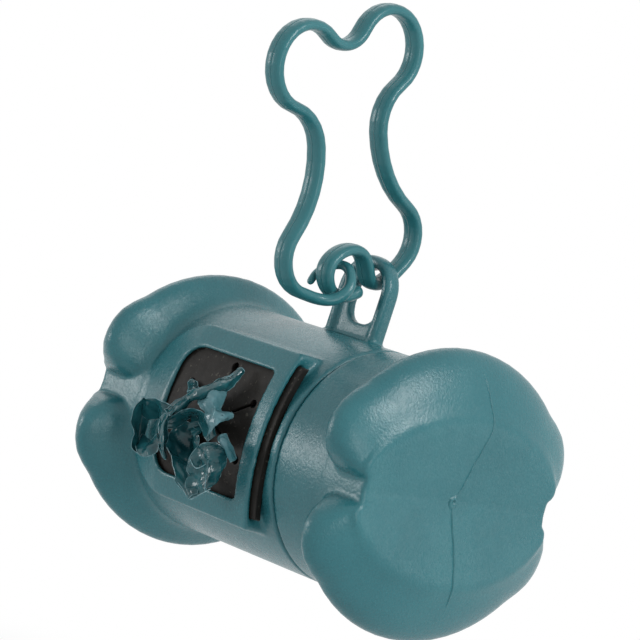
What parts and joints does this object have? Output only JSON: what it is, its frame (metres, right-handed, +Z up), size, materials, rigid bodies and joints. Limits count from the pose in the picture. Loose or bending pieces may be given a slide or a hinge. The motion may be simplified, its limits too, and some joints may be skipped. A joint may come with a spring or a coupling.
{
  "type": "dog waste bag dispenser",
  "caption": "Bone-shaped holder for a roll of dog waste bags: screw cap, rubber outlet with a star of slits, eyelet, and a bone-shaped clip for the leash",
  "frame": {"origin": "the middle of the clip's strip at its crook, the dip under the top of the bone outline, where a leash carries the dispenser", "axes": "X along the shaft from the closed end to the cap, Z up through the eyelet, -Y is the front with the outlet"},
  "size_m": [0.0698, 0.061, 0.0936],
  "materials": {
    "shell": "fine spark-eroded texture, dusty teal",
    "insert": "smooth soft rubber with dust specks",
    "clip": "smooth, dusty teal, slightly glossy",
    "film": "thin crumpled polyethylene film, dusty teal",
    "core": "plain wound board"
  },
  "bodies": {
    "clip": {"clip": "clip"},
    "case": {"case_body": "shell", "outlet_insert": "insert"},
    "cap": {"cap": "shell"},
    "roll": {"bag_roll": "film", "roll_core": "core"},
    "bag_end": {"bag_end": "film"}
  },
  "joints": [
    {"name": "case_swing", "type": "hinge", "parent": "clip", "child": "case", "pos_m": [-0.00017, 0.02089, -0.0334], "axis": [0, 1, 0], "range_deg": [-60, 60]},
    {"name": "cap_off", "type": "slide", "parent": "case", "child": "cap", "axis": [1, 0, 0], "range_m": [0, 0.032]},
    {"name": "roll_spin", "type": "hinge", "parent": "case", "child": "roll", "pos_m": [-0.00197, 0.02089, -0.06065], "axis": [1, 0, 0], "range_deg": [0, 150]},
    {"name": "bag_pull", "type": "slide", "parent": "case", "child": "bag_end", "axis": [0, -1, 0], "range_m": [0, 0.0406], "deforming": ["bag_end"]}
  ],
  "couplings": [
    {"joint": "bag_pull", "follows": "roll_spin", "m_per_rad": 0.0155}
  ]
}
